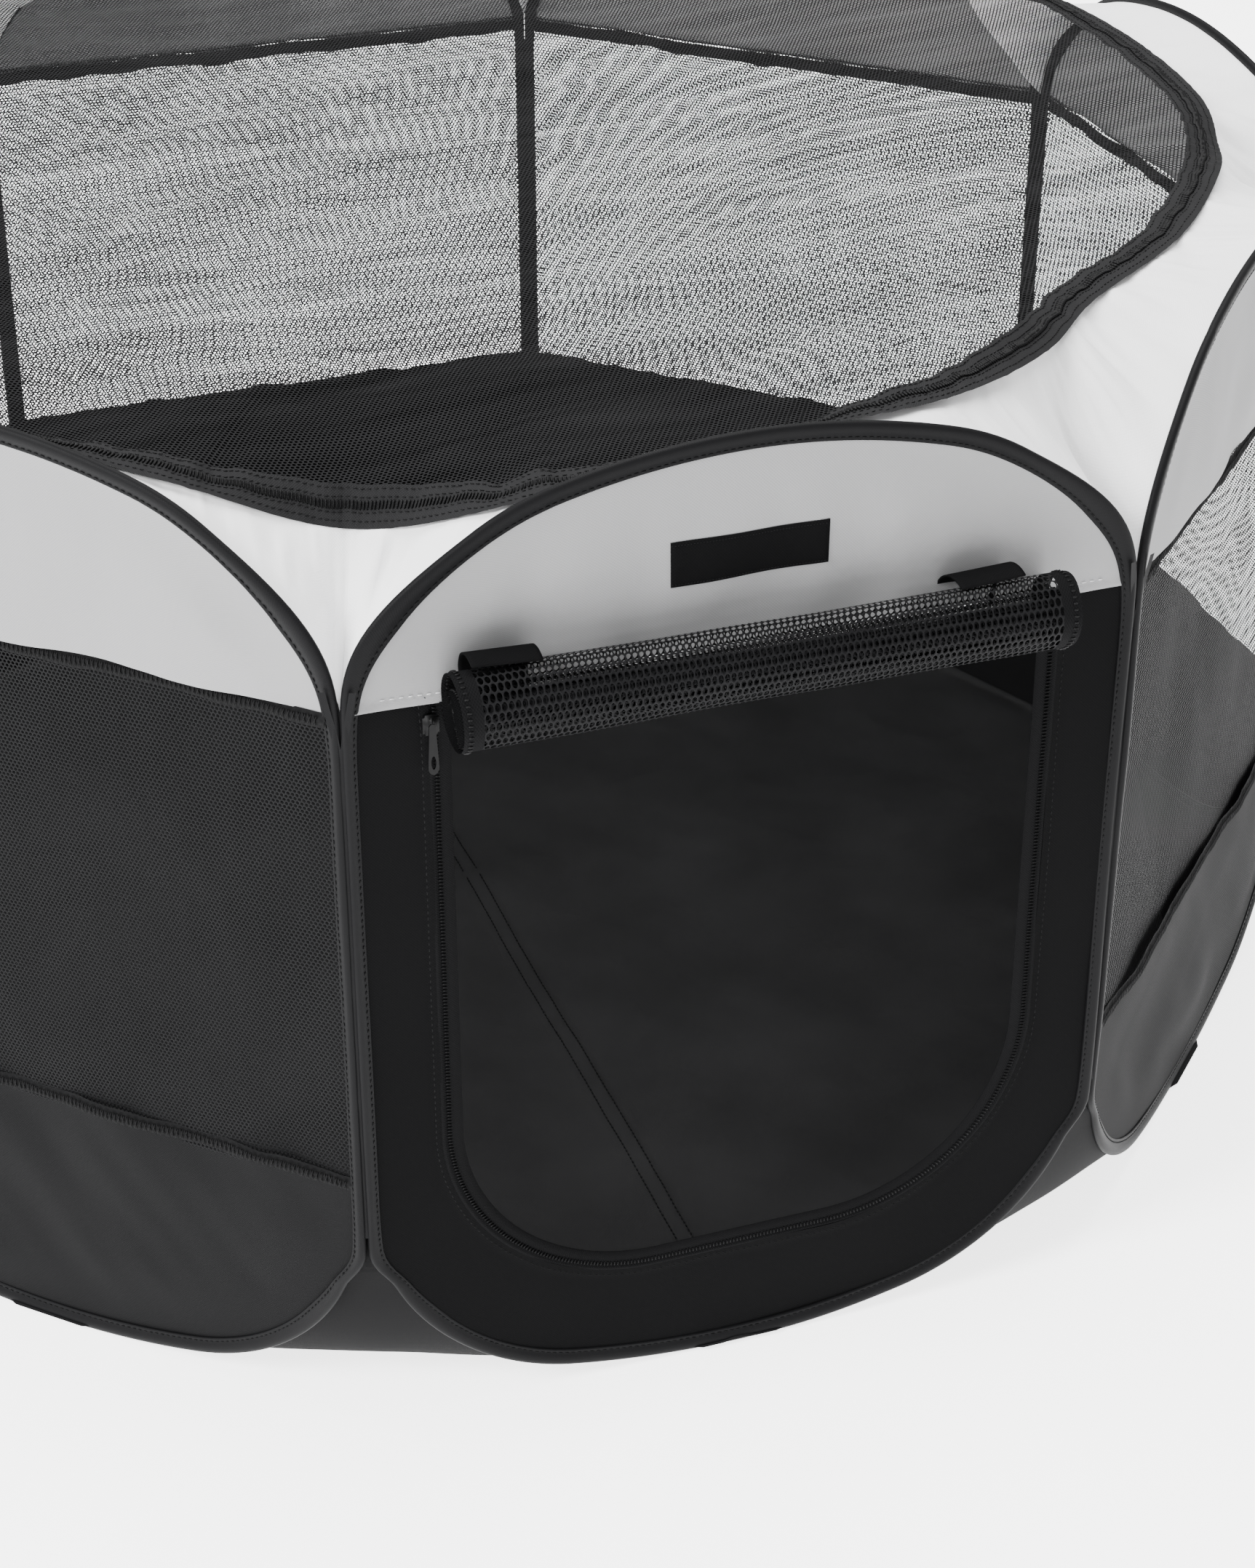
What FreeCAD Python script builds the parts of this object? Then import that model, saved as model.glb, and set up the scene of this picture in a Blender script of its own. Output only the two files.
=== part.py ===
import FreeCAD, Part
import math
import os

os.makedirs("parts", exist_ok=True)
V = FreeCAD.Vector

# ---- overall size, mm ----
PITCH = 460.0            # corner to corner along one side, at the middle of the panel's thickness
HEIGHT = 610.0           # ground to the crown of the arch
PANELS = 8
TURN = 360.0 / PANELS
APOTHEM = PITCH / 2 / math.tan(math.radians(TURN / 2))

# ---- one panel's outline ----
HALF_WIDTH = 226.5       # binding's outer edge from the panel's middle
TOP_SHOULDER_R = 155.0
TOP_SHOULDER_DROP = 165.0
FOOT_SHOULDER_R = 150.0
FOOT_SHOULDER_RISE = 158.0
BINDING_W = 16.0
BINDING_T = 6.0
WIRE_OUT = 6.0           # wire's outer edge, in from the binding's outer edge
WIRE_W = 4.0
WIRE_T = 2.0
BAND_T = 1.2
MESH_T = 0.8
BAND_LOW_EDGE = 482.0    # lower edge of the light band
FOOT_BAND_TOP = 172.0    # upper edge of the dark band

# ---- doorway in panel 0 ----
DOOR_HALF = 182.0
DOOR_SILL = 75.0
DOOR_CORNER_R = 128.0
DOOR_TAPE_W = 12.0
DOOR_TAPE_T = 1.6

# ---- rolled door and its straps ----
ROLL_R = 24.0
ROLL_HALF = 173.0
ROLL_X = -3.0
ROLL_Z = BAND_LOW_EDGE + 9.0
STRAP_T = 1.2
STRAP_W = 37.0
STRAP_XS = (-146.0, 123.0)
STRAP_TAIL = 13.0
ROLL_Y = -APOTHEM - BAND_T / 2 - STRAP_T - ROLL_R

# ---- sliders and pulls ----
SLIDER_L = 12.0
SLIDER_W = 9.0
SLIDER_T = 4.0
PULL_L = 30.0
PULL_W = 6.0
PULL_T = 1.2
AIR = 0.3                # running gap between pieces of different bodies
DOOR_SLIDER_Z = 470.0
TOP_SLIDER_U = -90.0     # along panel 6

# ---- fabric between the panels ----
SKIN_IN = BINDING_T / 2 + AIR    # how far in from the panels' middle the floor and top start
FLOOR_T = 1.2
FLOOR_U = 24.0           # half of the floor's straight edge along a panel
RING_U = 100.0           # half of the top ring's straight edge along a panel
RING_Z = 598.0
RING_T = 2.0
TAPE_W = 13.0
COVER_T = 1.2
SEAM_R = 1.6


def out(name, shape):
    shape.exportStep("parts/" + name + ".step")
    print(name, "solids", len(shape.Solids), "valid", shape.isValid())


def crown(reach, shoulder_r, side_x):
    """Radius of the crown arc that runs smoothly into both shoulders."""
    return (reach ** 2 + side_x ** 2 - shoulder_r ** 2) / (2 * (reach - shoulder_r))


TOP_X = HALF_WIDTH - TOP_SHOULDER_R
TOP_CROWN_R = crown(TOP_SHOULDER_DROP, TOP_SHOULDER_R, TOP_X)
FOOT_X = HALF_WIDTH - FOOT_SHOULDER_R
FOOT_CROWN_R = crown(FOOT_SHOULDER_RISE, FOOT_SHOULDER_R, FOOT_X)
TOP_Z = HEIGHT - TOP_SHOULDER_DROP
FOOT_Z = FOOT_SHOULDER_RISE


def meet(crown_z, crown_r, shoulder_x, shoulder_z, inset):
    """Where the crown arc runs into the shoulder arc, on the side x above 0."""
    dx = shoulder_x
    dz = shoulder_z - crown_z
    long = math.hypot(dx, dz)
    r = crown_r - inset
    return dx / long * r, crown_z + dz / long * r


def shoulder_point(x, z, r, angle):
    return x + r * math.cos(math.radians(angle)), z + r * math.sin(math.radians(angle))


def outline(inset, y):
    """Closed panel outline, inset from its outer edge, in the plane y."""
    w = HALF_WIDTH - inset
    top_crown_z = HEIGHT - TOP_CROWN_R
    foot_crown_z = FOOT_CROWN_R
    tx, tz = meet(top_crown_z, TOP_CROWN_R, TOP_X, TOP_Z, inset)
    fx, fz = meet(foot_crown_z, FOOT_CROWN_R, FOOT_X, FOOT_Z, inset)
    t_angle = math.degrees(math.atan2(tz - TOP_Z, tx - TOP_X))
    f_angle = math.degrees(math.atan2(fz - FOOT_Z, fx - FOOT_X))
    mtx, mtz = shoulder_point(TOP_X, TOP_Z, TOP_SHOULDER_R - inset, t_angle / 2)
    mfx, mfz = shoulder_point(FOOT_X, FOOT_Z, FOOT_SHOULDER_R - inset, f_angle / 2)
    p = lambda x, z: V(x, y, z)
    edges = [
        Part.Arc(p(-tx, tz), p(0, HEIGHT - inset), p(tx, tz)).toShape(),
        Part.Arc(p(tx, tz), p(mtx, mtz), p(w, TOP_Z)).toShape(),
        Part.makeLine(p(w, TOP_Z), p(w, FOOT_Z)),
        Part.Arc(p(w, FOOT_Z), p(mfx, mfz), p(fx, fz)).toShape(),
        Part.Arc(p(fx, fz), p(0, inset), p(-fx, fz)).toShape(),
        Part.Arc(p(-fx, fz), p(-mfx, mfz), p(-w, FOOT_Z)).toShape(),
        Part.makeLine(p(-w, FOOT_Z), p(-w, TOP_Z)),
        Part.Arc(p(-w, TOP_Z), p(-mtx, mtz), p(-tx, tz)).toShape(),
    ]
    return Part.Wire(edges)


def slab(inset, thick):
    """The panel outline as a plate of that thickness, centred on the panel's plane."""
    face = Part.Face(outline(inset, -APOTHEM - thick / 2))
    return face.extrude(V(0, thick, 0))


def ring(inset_a, inset_b, thick):
    return slab(inset_a, thick).cut(slab(inset_b, thick))


def slice_z(shape, low, high):
    box = Part.makeBox(2 * PITCH, 100, high - low, V(-PITCH, -APOTHEM - 50, low))
    return shape.common(box)


def top_edge(u):
    """Height of the panel's outer edge at u along it, upper side."""
    tx, tz = meet(HEIGHT - TOP_CROWN_R, TOP_CROWN_R, TOP_X, TOP_Z, 0)
    if abs(u) <= tx:
        return HEIGHT - TOP_CROWN_R + math.sqrt(TOP_CROWN_R ** 2 - u ** 2)
    return TOP_Z + math.sqrt(TOP_SHOULDER_R ** 2 - (abs(u) - TOP_X) ** 2)


def foot_edge(u):
    """Height of the panel's outer edge at u along it, lower side."""
    fx, fz = meet(FOOT_CROWN_R, FOOT_CROWN_R, FOOT_X, FOOT_Z, 0)
    if abs(u) <= fx:
        return FOOT_CROWN_R - math.sqrt(FOOT_CROWN_R ** 2 - u ** 2)
    return FOOT_Z - math.sqrt(FOOT_SHOULDER_R ** 2 - (abs(u) - FOOT_X) ** 2)


def doorway(inset, thick):
    """Plate with the doorway's shape: straight sides, round lower corners."""
    w = DOOR_HALF - inset
    r = DOOR_CORNER_R - inset
    cx = DOOR_HALF - DOOR_CORNER_R
    cz = DOOR_SILL + DOOR_CORNER_R
    z_top = BAND_LOW_EDGE
    s = math.sqrt(0.5) * r
    y = -APOTHEM - thick / 2
    p = lambda x, z: V(x, y, z)
    edges = [
        Part.makeLine(p(-w, z_top), p(-w, cz)),
        Part.Arc(p(-w, cz), p(-cx - s, cz - s), p(-cx, cz - r)).toShape(),
        Part.makeLine(p(-cx, cz - r), p(cx, cz - r)),
        Part.Arc(p(cx, cz - r), p(cx + s, cz - s), p(w, cz)).toShape(),
        Part.makeLine(p(w, cz), p(w, z_top)),
        Part.makeLine(p(w, z_top), p(-w, z_top)),
    ]
    return Part.Face(Part.Wire(edges)).extrude(V(0, thick, 0))


def place(shape, i):
    """Turns a shape made for panel 0 round to panel i."""
    s = shape.copy()
    s.rotate(V(0, 0, 0), V(0, 0, 1), TURN * i)
    return s


def spot(i, u, inward, z):
    """World point at u along panel i, that far in from its middle plane."""
    a = math.radians(TURN * i)
    y = -APOTHEM + inward
    return V(u * math.cos(a) - y * math.sin(a), u * math.sin(a) + y * math.cos(a), z)


def strip(i, u0, z0, u1, z1, lift):
    """Flat piece of web across corner i+1, between two level lines."""
    n = (i + 1) % PANELS
    pts = [
        spot(i, u0, SKIN_IN, z0), spot(n, -u0, SKIN_IN, z0),
        spot(n, -u1, SKIN_IN, z1), spot(i, u1, SKIN_IN, z1),
    ]
    a = math.radians(TURN * (i + 0.5) - 90)
    face = Part.Face(Part.makePolygon(pts + [pts[0]]))
    return face.extrude(V(-math.cos(a) * lift, -math.sin(a) * lift, lift))


def web(i, us, height_at, lift):
    """Web across a corner, made of flat strips that follow both panels' edges."""
    parts = []
    for u0, u1 in zip(us, us[1:]):
        parts.append(strip(i, u0, height_at(u0), u1, height_at(u1), lift))
    return parts[0].multiFuse(parts[1:]).removeSplitter()


def ring_polygon(u, inward, z):
    pts = []
    for i in range(PANELS):
        pts.append(spot(i, -u, inward, z))
        pts.append(spot(i, u, inward, z))
    return Part.Face(Part.makePolygon(pts + [pts[0]]))


def ring_u(inward):
    """Half length of the ring's straight edge, kept so that the tape is as wide across the corners."""
    return RING_U - (inward - SKIN_IN) * math.tan(math.radians(TURN / 4))


# ---- the eight panels ----
wire = ring(WIRE_OUT, WIRE_OUT + WIRE_W, WIRE_T)
binding = ring(0, BINDING_W, BINDING_T).cut(wire)
band_plate = slab(BINDING_W, BAND_T)
upper_band = slice_z(band_plate, BAND_LOW_EDGE, HEIGHT)
lower_band = slice_z(band_plate, 0, FOOT_BAND_TOP)
window = slice_z(slab(BINDING_W, MESH_T), FOOT_BAND_TOP, BAND_LOW_EDGE)
surround = slice_z(band_plate, 0, BAND_LOW_EDGE).cut(doorway(0, BAND_T))
door_tape = doorway(0, DOOR_TAPE_T).cut(doorway(DOOR_TAPE_W, DOOR_TAPE_T))

for i in range(PANELS):
    out("wire_loop_%d" % i, place(wire, i))
    out("binding_%d" % i, place(binding, i))
    out("upper_band_%d" % i, place(upper_band, i))
    if i:
        out("mesh_window_%d" % i, place(window, i))
        out("lower_band_%d" % i, place(lower_band, i))

out("door_surround", surround)
out("door_zip_tape", door_tape)

# ---- corner seams, each on its fold line ----
# Corners 1, 3, 5 and 7 fold with inner faces together, 2 and 6 with outer faces together.
IN_CORNERS = (1, 3, 5, 7)
OUT_CORNERS = (2, 6)
for k in range(PANELS):
    shift = 0.0
    if k in IN_CORNERS:
        shift = -BINDING_T / 2
    if k in OUT_CORNERS:
        shift = BINDING_T / 2
    reach = (APOTHEM + shift) / math.cos(math.radians(TURN / 2))
    a = math.radians(TURN * (k - 0.5) - 90)
    seam = Part.makeCylinder(SEAM_R, TOP_Z - FOOT_Z, V(reach * math.cos(a), reach * math.sin(a), FOOT_Z))
    out("corner_seam_%d" % k, seam)

# ---- rolled-up door and its two straps ----
roll = Part.makeCylinder(
    ROLL_R, 2 * ROLL_HALF, V(ROLL_X - ROLL_HALF, ROLL_Y, ROLL_Z), V(1, 0, 0))
out("door_roll", roll)
straps = []
for x in STRAP_XS:
    start = V(x - STRAP_W / 2, ROLL_Y, ROLL_Z)
    loop = Part.makeCylinder(ROLL_R + STRAP_T, STRAP_W, start, V(1, 0, 0))
    loop = loop.cut(Part.makeCylinder(ROLL_R, STRAP_W, start, V(1, 0, 0)))
    tail = Part.makeBox(
        STRAP_W, 2 * STRAP_T, STRAP_TAIL,
        V(x - STRAP_W / 2, ROLL_Y - STRAP_T, ROLL_Z + ROLL_R + STRAP_T / 2))
    straps.append(loop.fuse(tail))
out("roll_straps", Part.makeCompound(straps))

# ---- door slider and pull ----
slider_y = -APOTHEM - DOOR_TAPE_T / 2 - AIR - SLIDER_T
slider = Part.makeBox(
    SLIDER_W, SLIDER_T, SLIDER_L,
    V(-DOOR_HALF - SLIDER_W / 2, slider_y, DOOR_SLIDER_Z - SLIDER_L / 2))
out("door_slider", slider)
pull_y = slider_y - AIR - PULL_T / 2
pull_z = DOOR_SLIDER_Z + 1.4
pull = Part.makeBox(
    PULL_W, PULL_T, PULL_L,
    V(-DOOR_HALF - PULL_W / 2, pull_y - PULL_T / 2, pull_z - PULL_L))
barrel = Part.makeCylinder(
    PULL_T / 2, PULL_W, V(-DOOR_HALF - PULL_W / 2, pull_y, pull_z), V(1, 0, 0))
out("door_pull", pull.fuse(barrel).removeSplitter())

# ---- floor and its corner webs ----
floor = ring_polygon(FLOOR_U, SKIN_IN, 0).extrude(V(0, 0, FLOOR_T))
out("floor_sheet", floor)
FLOOR_US = (FLOOR_U, 100.0, 150.0, 185.0, 208.0, 221.0, 225.5)
floor_height = lambda u: max(foot_edge(u), FLOOR_T + 0.1)
webs = []
for i in range(PANELS):
    webs.append(web(i, FLOOR_US, floor_height, 0.7))
out("floor_webs", Part.makeCompound(webs))

# ---- top webs, zip ring and cover ----
TOP_US = (RING_U, 140.0, 170.0, 195.0, 212.0, 222.0, 225.5)
top_height = lambda u: min(top_edge(u), RING_Z - 1.0)
webs = []
for i in range(PANELS):
    webs.append(web(i, TOP_US, top_height, 0.7))
out("top_webs", Part.makeCompound(webs))

ring_outer = ring_polygon(RING_U, SKIN_IN, RING_Z).extrude(V(0, 0, RING_T))
ring_mid_in = SKIN_IN + TAPE_W
ring_mid = ring_polygon(ring_u(ring_mid_in), ring_mid_in, RING_Z).extrude(V(0, 0, RING_T))
ring_low_in = SKIN_IN + 2 * TAPE_W
ring_inner = ring_polygon(ring_u(ring_low_in), ring_low_in, RING_Z)
out("top_zip_tape", ring_outer.cut(ring_mid))
out("cover_zip_tape", ring_mid.cut(ring_inner.extrude(V(0, 0, RING_T))))
out("cover_mesh", ring_inner.extrude(V(0, 0, COVER_T)))

# ---- top slider and pull, on panel 6 ----
top_slider = Part.makeBox(
    SLIDER_L, SLIDER_W, SLIDER_T,
    V(TOP_SLIDER_U - SLIDER_L / 2, -APOTHEM + ring_mid_in - SLIDER_W / 2, RING_Z + RING_T + AIR))
out("top_slider", place(top_slider, 6))
top_pull_z = RING_Z + RING_T + 2 * AIR + SLIDER_T
top_pull = Part.makeBox(
    PULL_L, PULL_W, PULL_T,
    V(TOP_SLIDER_U, -APOTHEM + ring_mid_in - PULL_W / 2, top_pull_z))
top_barrel = Part.makeCylinder(
    PULL_T / 2, PULL_W,
    V(TOP_SLIDER_U, -APOTHEM + ring_mid_in - PULL_W / 2, top_pull_z + PULL_T / 2), V(0, 1, 0))
out("top_pull", place(top_pull.fuse(top_barrel).removeSplitter(), 6))
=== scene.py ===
import math
import bmesh
import bpy
from mathutils import Matrix, Vector, noise


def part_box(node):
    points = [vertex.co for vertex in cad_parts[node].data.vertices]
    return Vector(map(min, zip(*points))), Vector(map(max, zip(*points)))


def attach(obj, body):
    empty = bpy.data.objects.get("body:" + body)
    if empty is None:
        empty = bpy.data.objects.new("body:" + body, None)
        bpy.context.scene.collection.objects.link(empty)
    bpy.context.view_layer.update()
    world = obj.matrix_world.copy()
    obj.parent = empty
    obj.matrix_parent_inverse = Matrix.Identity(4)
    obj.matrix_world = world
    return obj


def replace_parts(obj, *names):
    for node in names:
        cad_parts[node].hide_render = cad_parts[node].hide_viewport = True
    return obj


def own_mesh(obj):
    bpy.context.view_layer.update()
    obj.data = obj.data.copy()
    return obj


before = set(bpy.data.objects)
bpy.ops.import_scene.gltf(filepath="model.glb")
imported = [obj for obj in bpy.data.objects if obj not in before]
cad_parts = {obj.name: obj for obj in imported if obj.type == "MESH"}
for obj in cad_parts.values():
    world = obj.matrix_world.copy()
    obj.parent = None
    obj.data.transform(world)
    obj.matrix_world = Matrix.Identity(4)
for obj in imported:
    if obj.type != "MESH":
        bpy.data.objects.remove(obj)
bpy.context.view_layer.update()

# -------- sizes, metres
PANELS = 8
TURN = 2 * math.pi / PANELS
PITCH = 0.460
APOTHEM = PITCH / 2 / math.tan(TURN / 2)
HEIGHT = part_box("binding_0")[1][2]
HALF_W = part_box("binding_0")[1][0]
TOP_R = 0.155
TOP_DROP = 0.165
FOOT_R = 0.150
FOOT_RISE = 0.158
BAND_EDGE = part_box("upper_band_0")[0][2]
FOOT_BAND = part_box("lower_band_2")[1][2]
BIND_W = 0.011           # the binding's width on the arches
SLIM = 0.36              # share of it that is lost on the upright sides
UNDER = 0.005            # how far in from the binding's outer edge a sheet is sewn
BEHIND = 0.0016          # how far behind a panel's middle plane the webs and the floor are sewn
SEAM_U = 0.2262          # the corner seam's place, out from a panel's middle
CLOTH_HALF = 0.2145      # half the width of a panel's cloth, for its weave
DOOR_HALF = 0.182
DOOR_SILL = 0.075
DOOR_CORNER = 0.128
DOOR_MID = 0.30          # height that rays to the doorway's edge start from
ROLL_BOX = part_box("door_roll")
ROLL_R = (ROLL_BOX[1][2] - ROLL_BOX[0][2]) / 2
ROLL_Z = (ROLL_BOX[1][2] + ROLL_BOX[0][2]) / 2
ROLL_OUT = -APOTHEM - (ROLL_BOX[0][1] + ROLL_BOX[1][1]) / 2
ROLL_X0 = ROLL_BOX[0][0]
ROLL_X1 = ROLL_BOX[1][0]
ROLL_FLAT = (0.346, 0.40)
STRAP_XS = (-0.146, 0.123)
STRAP_HALF = 0.0185
# the cover's zip at each corner: distance from the middle, height, tilt in degrees
RING_CORNER = (
    (0.531, 0.558, 58), (0.521, 0.596, 22), (0.504, 0.592, 22), (0.512, 0.590, 22),
    (0.518, 0.588, 22), (0.520, 0.589, 22), (0.528, 0.588, 22), (0.528, 0.586, 30),
)
# and along each panel: how far in it runs at the left, middle and right, and its height and tilt there
RING_SIDE = (
    ((0.012, 0.584, 8), (0.009, 0.600, -30), (0.030, 0.598, 6)),
    ((0.072, 0.598, 6), (0.057, 0.598, 0), (0.068, 0.597, 4)),
    ((0.064, 0.597, 4), (0.050, 0.598, 0), (0.056, 0.597, 4)),
    ((0.050, 0.597, 4), (0.040, 0.598, 0), (0.046, 0.597, 4)),
    ((0.042, 0.597, 4), (0.030, 0.598, 0), (0.034, 0.597, 4)),
    ((0.034, 0.597, 4), (0.028, 0.598, 0), (0.030, 0.597, 4)),
    ((0.0078, 0.5985, 0), (0.0078, 0.5985, 0), (0.0078, 0.5985, 0)),
    ((0.014, 0.596, -4), (0.010, 0.599, -28), (0.018, 0.588, 6)),
)
RING_U = 0.12            # where along the panel the left and right points are
TAPE = 0.0085            # one zip tape's width
COIL = 0.005             # the coil between two tapes
RING_W = 2 * TAPE + COIL
WEB_FROM = 0.2205        # a top web starts this far along the arch
ARCH_STEPS = 400
DENSE_STEPS = 2000
RING_PER = 84            # samples of the zip ring on each panel
SIDE_PITCH = 0.0026      # from one hole of a net to the next
TOP_PITCH = 0.0028
ROLL_PITCH = 0.0036
PINCH_LOW = 0.130        # neighbouring bindings are pulled together from here
PINCH_HIGH = 0.510       # up to here
STITCH = 0.0042          # from one stitch of the binding to the next


def crown(reach, r, x):
    """Radius of the arc that runs smoothly into a shoulder of radius r."""
    return (reach ** 2 + x ** 2 - r ** 2) / (2 * (reach - r))


TOP_X = HALF_W - TOP_R
TOP_Z = HEIGHT - TOP_DROP
TOP_CROWN = crown(TOP_DROP, TOP_R, TOP_X)
FOOT_X = HALF_W - FOOT_R
FOOT_CROWN = crown(FOOT_RISE, FOOT_R, FOOT_X)
TOP_TURN = math.atan2(TOP_X, TOP_CROWN - TOP_DROP)
FOOT_TURN = math.atan2(FOOT_X, FOOT_CROWN - FOOT_RISE)


def top_edge(u, inset=0.0):
    """Height of the panel's upper edge at u, moved in by inset."""
    u = min(abs(u), HALF_W - inset - 1e-6)
    if u <= (TOP_CROWN - inset) * math.sin(TOP_TURN):
        return HEIGHT - TOP_CROWN + math.sqrt((TOP_CROWN - inset) ** 2 - u * u)
    return TOP_Z + math.sqrt(max(0, (TOP_R - inset) ** 2 - (u - TOP_X) ** 2))


def foot_edge(u, inset=0.0):
    """Height of the panel's lower edge at u, moved in by inset."""
    u = min(abs(u), HALF_W - inset - 1e-6)
    if u <= (FOOT_CROWN - inset) * math.sin(FOOT_TURN):
        return FOOT_CROWN - math.sqrt((FOOT_CROWN - inset) ** 2 - u * u)
    return FOOT_RISE - math.sqrt(max(0, (FOOT_R - inset) ** 2 - (u - FOOT_X) ** 2))


def half_width(z, inset=0.0):
    """Half of the panel's width at height z, moved in by inset."""
    if z > TOP_Z:
        return TOP_X + math.sqrt(max(0, (TOP_R - inset) ** 2 - (z - TOP_Z) ** 2))
    if z < FOOT_RISE:
        return FOOT_X + math.sqrt(max(0, (FOOT_R - inset) ** 2 - (FOOT_RISE - z) ** 2))
    return HALF_W - inset


def flare(z):
    """How far a panel's side is pulled out to meet its neighbour near the ends of their seam."""
    want = max(0.0, PITCH / 2 - 0.0005 - half_width(z))
    return want * (1 - smooth((z - PINCH_HIGH + 0.035) / 0.10)) * smooth((z - PINCH_LOW + 0.030) / 0.03)


def at(i, u, out, z):
    """World point at u along panel i, out from its middle plane, at height z."""
    if PINCH_LOW - 0.03 < z < PINCH_HIGH + 0.065:
        u += math.copysign(flare(z) * min(1.0, abs(u) / half_width(z)) ** 9, u)
    a = TURN * i
    y = -APOTHEM - out
    return Vector((u * math.cos(a) - y * math.sin(a), u * math.sin(a) + y * math.cos(a), z))


def smooth(x):
    x = max(0.0, min(1.0, x))
    return x * x * (3 - 2 * x)


def lerp(a, b, t):
    return a + (b - a) * t


def spread(low, high, n):
    """Evenly spaced values, the middles of n equal steps from low to high."""
    return [lerp(low, high, (k + 0.5) / n) for k in range(n)]


def rumple(x, y, z=0.0, seed=0.0):
    """Smooth noise, the same every time."""
    return noise.noise(Vector((x + seed, y - seed * 0.7, z)))


def panel_name(i):
    return "panel_%d" % i


# -------- mesh builders
def add_object(name, data):
    obj = bpy.data.objects.new(name, data)
    bpy.context.scene.collection.objects.link(obj)
    return obj


def build(name, verts, faces, mat, body, uvs=None, normals=None, picks=None):
    """A smooth mesh that rides on body; mat is a material, or several that picks chooses from by face."""
    mesh = bpy.data.meshes.new(name)
    mesh.from_pydata(verts, [], faces)
    for m in mat if isinstance(mat, list) else [mat]:
        mesh.materials.append(m)
    if picks:
        mesh.polygons.foreach_set("material_index", picks)
    if uvs:
        layer = mesh.uv_layers.new(name="UVMap")
        for loop in mesh.loops:
            layer.data[loop.index].uv = uvs[loop.vertex_index]
    mesh.polygons.foreach_set("use_smooth", [True] * len(mesh.polygons))
    mesh.validate()
    if normals and len(mesh.vertices) == len(normals):
        mesh.normals_split_custom_set_from_vertices(normals)
    obj = add_object(name, mesh)
    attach(obj, body)
    return obj


def grid(name, f, s_span, t_span, ns, nt, mat, panel, uv, pick=None):
    """The surface f(s, t), with normals taken from f so that pieces cut from one surface join smoothly.

    uv scales s and t, or works out both from the point.
    """
    s0, s1 = s_span
    t0, t1 = t_span
    es = (s1 - s0) / ns * 0.3
    et = (t1 - t0) / nt * 0.3
    verts = []
    normals = []
    uvs = []
    for j in range(nt + 1):
        t = lerp(t0, t1, j / nt)
        for i in range(ns + 1):
            s = lerp(s0, s1, i / ns)
            verts.append(f(s, t))
            n = (f(s + es, t) - f(s - es, t)).cross(f(s, t + et) - f(s, t - et))
            if n.length < 1e-12:
                u = t + (t1 - t0) / nt * (0.6 if j < nt else -0.6)
                n = (f(s + es, u) - f(s - es, u)).cross(f(s, u + et) - f(s, u - et))
            normals.append(n.normalized())
            uvs.append(uv(verts[-1]) if callable(uv) else (s * uv[0], t * uv[1]))
    faces = []
    picks = []
    for j in range(nt):
        for i in range(ns):
            a = j * (ns + 1) + i
            quad = (a, a + 1, a + ns + 2, a + ns + 1)
            if len({tuple(verts[q]) for q in quad}) < 3:
                continue
            faces.append(quad)
            picks.append(pick((i + 0.5) / ns, (j + 0.5) / nt) if pick else 0)
    return build(name, verts, faces, mat, panel_name(panel), uvs, normals, picks)


def sew(name, grains, mat, panel):
    """One mesh of many small grains, each a point and its three half axes."""
    verts = []
    faces = []
    for grain in grains:
        lozenge(verts, faces, *grain)
    return build(name, verts, faces, mat, panel_name(panel))


def run(points):
    """Length of a line of points."""
    return sum((b - a).length for a, b in zip(points, points[1:]))


def tube_strip(rings, count):
    """Points and faces of the first count bands of a sweep of rings, each with the same number of points."""
    k = len(rings[0])
    verts = [p for ring in rings for p in ring]
    faces = []
    for a in range(count):
        b = (a + 1) % len(rings)
        for j in range(k):
            n = (j + 1) % k
            faces.append((a * k + j, b * k + j, b * k + n, a * k + n))
    return verts, faces


def lozenge(verts, faces, p, along, across, up):
    """A small rounded grain, such as one stitch or one tooth, at p."""
    b = len(verts)
    verts.extend([
        p - along, p - across * 0.9 - along * 0.6, p + up - along * 0.6, p + across * 0.9 - along * 0.6,
        p - across * 0.9 + along * 0.6, p + up + along * 0.6, p + across * 0.9 + along * 0.6, p + along,
        p - up * 0.3,
    ])
    faces.extend([
        (b, b + 2, b + 1), (b, b + 3, b + 2), (b + 1, b + 2, b + 5, b + 4),
        (b + 2, b + 3, b + 6, b + 5), (b + 4, b + 5, b + 7), (b + 5, b + 6, b + 7),
        (b, b + 1, b + 8), (b + 1, b + 4, b + 8), (b + 4, b + 7, b + 8),
        (b + 7, b + 6, b + 8), (b + 6, b + 3, b + 8), (b + 3, b, b + 8),
    ])


# -------- materials
def new_material(name):
    m = bpy.data.materials.new(name)
    m.use_nodes = True
    nt = m.node_tree
    return m, nt, nt.nodes["Principled BSDF"]


def link(output, socket):
    socket.id_data.links.new(output, socket)


def node(nt, kind, **values):
    n = nt.nodes.new(kind)
    for k, v in values.items():
        setattr(n, k, v)
    return n


def maths(nt, op, a, b=None, c=None, clamp=False):
    n = node(nt, "ShaderNodeMath", operation=op, use_clamp=clamp)
    for k, v in enumerate((a, b, c)):
        if v is None:
            continue
        if isinstance(v, (int, float)):
            n.inputs[k].default_value = v
        else:
            link(v, n.inputs[k])
    return n.outputs[0]


def link_bump(nt, bsdf, height, strength, distance):
    b = node(nt, "ShaderNodeBump")
    b.inputs["Strength"].default_value = strength
    b.inputs["Distance"].default_value = distance
    link(height, b.inputs["Height"])
    link(b.outputs[0], bsdf.inputs["Normal"])


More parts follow.
